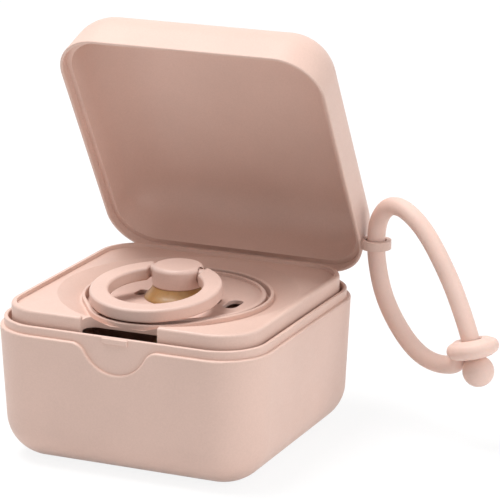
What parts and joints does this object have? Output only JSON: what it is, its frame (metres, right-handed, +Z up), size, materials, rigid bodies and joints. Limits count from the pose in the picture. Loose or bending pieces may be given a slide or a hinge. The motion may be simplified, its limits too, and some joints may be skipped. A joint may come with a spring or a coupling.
{
  "type": "pacifier case",
  "caption": "Square hinged travel case with a lift-out tray that holds a round-shield pacifier, and a silicone loop strap.",
  "frame": {"origin": "centre of the flat underside", "axes": "+Z up, the catch and thumb scoop face -Y, the hinge is at +Y, the strap is on the +X side"},
  "size_m": [0.1123, 0.0846, 0.1027],
  "materials": {
    "case_plastic": "satin",
    "tray_plastic": "satin",
    "pacifier_plastic": "satin",
    "strap_silicone": "matte",
    "teat_latex": "satin",
    "pin_steel": "satin"
  },
  "bodies": {
    "base": {"base_shell": "case_plastic", "hinge_pin": "pin_steel"},
    "lid": {"lid_shell": "case_plastic"},
    "tray": {"insert_tray": "tray_plastic"},
    "strap": {"strap_cord": "strap_silicone", "strap_eyelet": "strap_silicone", "strap_ball": "strap_silicone"},
    "pacifier": {"pacifier_shield": "pacifier_plastic", "pacifier_knob": "pacifier_plastic", "pacifier_teat": "teat_latex", "teat_plug": "pacifier_plastic"},
    "ring": {"pacifier_ring": "pacifier_plastic"}
  },
  "joints": [
    {"name": "lid_hinge", "type": "hinge", "parent": "base", "child": "lid", "pos_m": [0, 0.0384, 0.0336], "axis": [-1, 0, 0], "range_deg": [-60.6, 42]},
    {"name": "tray_lift", "type": "slide", "parent": "base", "child": "tray", "axis": [0, 0, 1], "range_m": [0, 0.009]},
    {"name": "pacifier_lift", "type": "slide", "parent": "tray", "child": "pacifier", "axis": [0, 0, 1], "range_m": [0, 0.028]},
    {"name": "ring_fold", "type": "hinge", "parent": "pacifier", "child": "ring", "pos_m": [0, 0, 0.0427], "axis": [-1, 0, 0], "range_deg": [0, 160]},
    {"name": "strap_swing", "type": "hinge", "parent": "lid", "child": "strap", "pos_m": [0.0393, 0.03405, 0.04601], "axis": [0, 0, 1], "range_deg": [-50, 90]}
  ]
}
